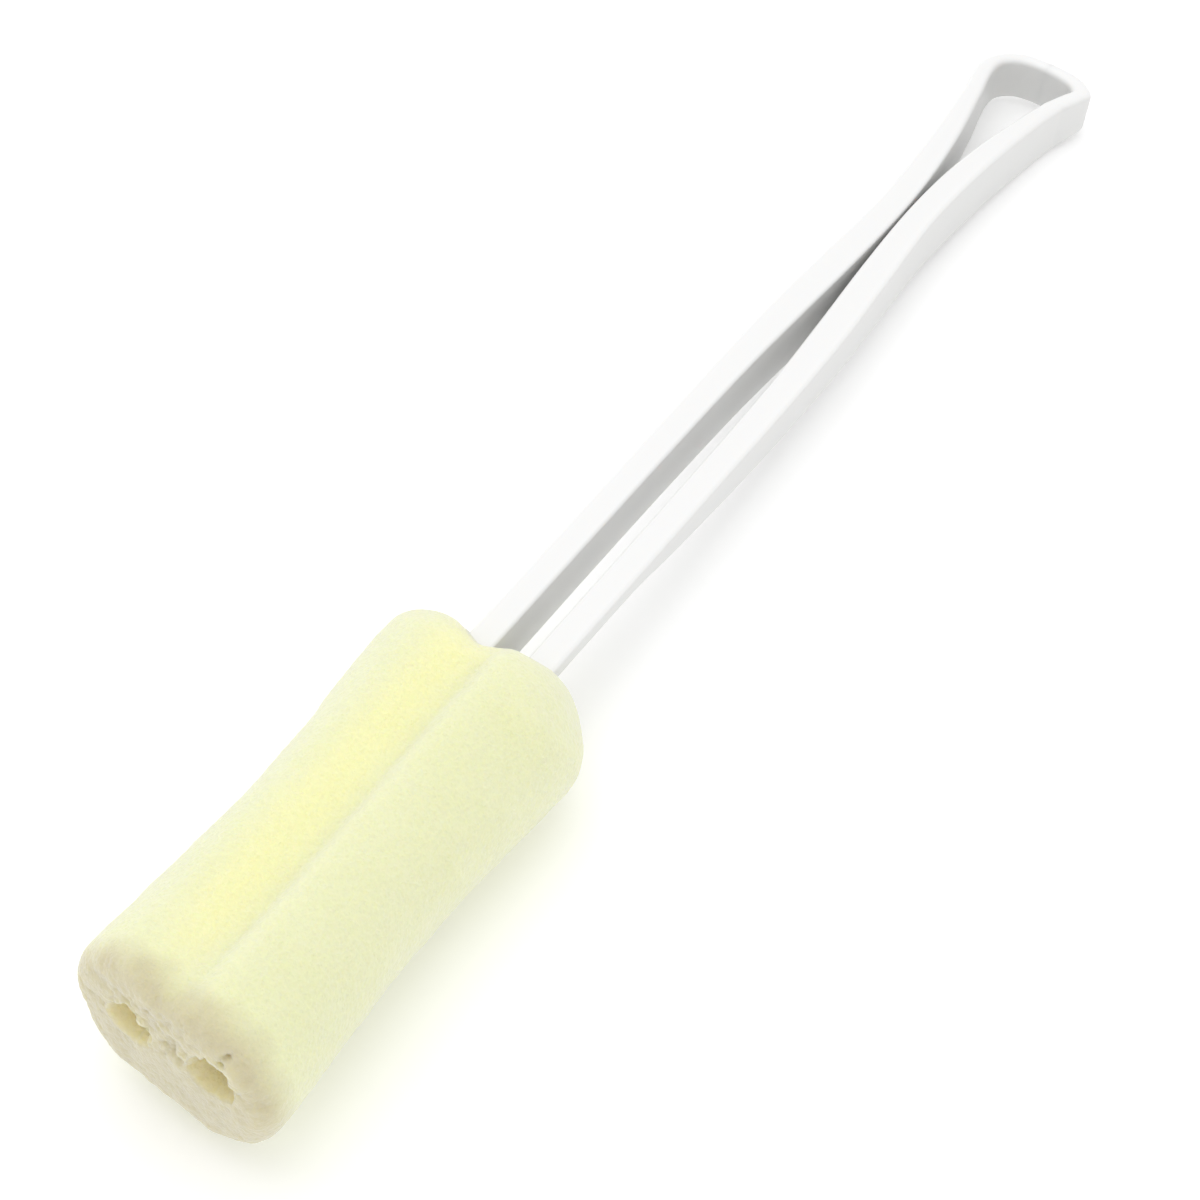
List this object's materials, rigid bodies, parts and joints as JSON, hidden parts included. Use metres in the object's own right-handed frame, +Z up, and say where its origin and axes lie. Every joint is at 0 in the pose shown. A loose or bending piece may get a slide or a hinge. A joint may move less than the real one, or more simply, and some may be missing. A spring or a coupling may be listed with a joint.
{
  "type": "handled sponge brush",
  "caption": "Two-lobed foam sponge that pulls off a white hairpin plastic handle with springy arms and a hanging eye.",
  "frame": {"origin": "centre of the bounding box's bottom, on the surface the brush lies on", "axes": "+X from the sponge towards the hanging eye, +Z up from the surface it lies on, +Y across the arms; the handle dips 2.73 degrees towards the eye"},
  "size_m": [0.3005, 0.04, 0.0349],
  "materials": {
    "handle": "satin",
    "foam": "matte"
  },
  "bodies": {
    "handle": {"hanging_loop": "handle"},
    "left_arm": {"left_arm": "handle"},
    "right_arm": {"right_arm": "handle"},
    "sponge": {"sponge": "foam"}
  },
  "joints": [
    {"name": "sponge_pull", "type": "slide", "parent": "handle", "child": "sponge", "axis": [-0.9989, 0, 0.0476], "range_m": [0, 0.08]},
    {"name": "left_arm_flex", "type": "hinge", "parent": "handle", "child": "left_arm", "pos_m": [0.07408, 0.00358, 0.00905], "axis": [0.0476, 0, 0.9989], "range_deg": [0, 0.5], "stiffness_Nm_per_rad": 4},
    {"name": "right_arm_flex", "type": "hinge", "parent": "handle", "child": "right_arm", "pos_m": [0.07408, -0.00358, 0.00905], "axis": [0.0476, 0, 0.9989], "range_deg": [-0.5, 0], "stiffness_Nm_per_rad": 4}
  ],
  "couplings": [
    {"joint": "right_arm_flex", "follows": "left_arm_flex", "ratio": -1}
  ]
}
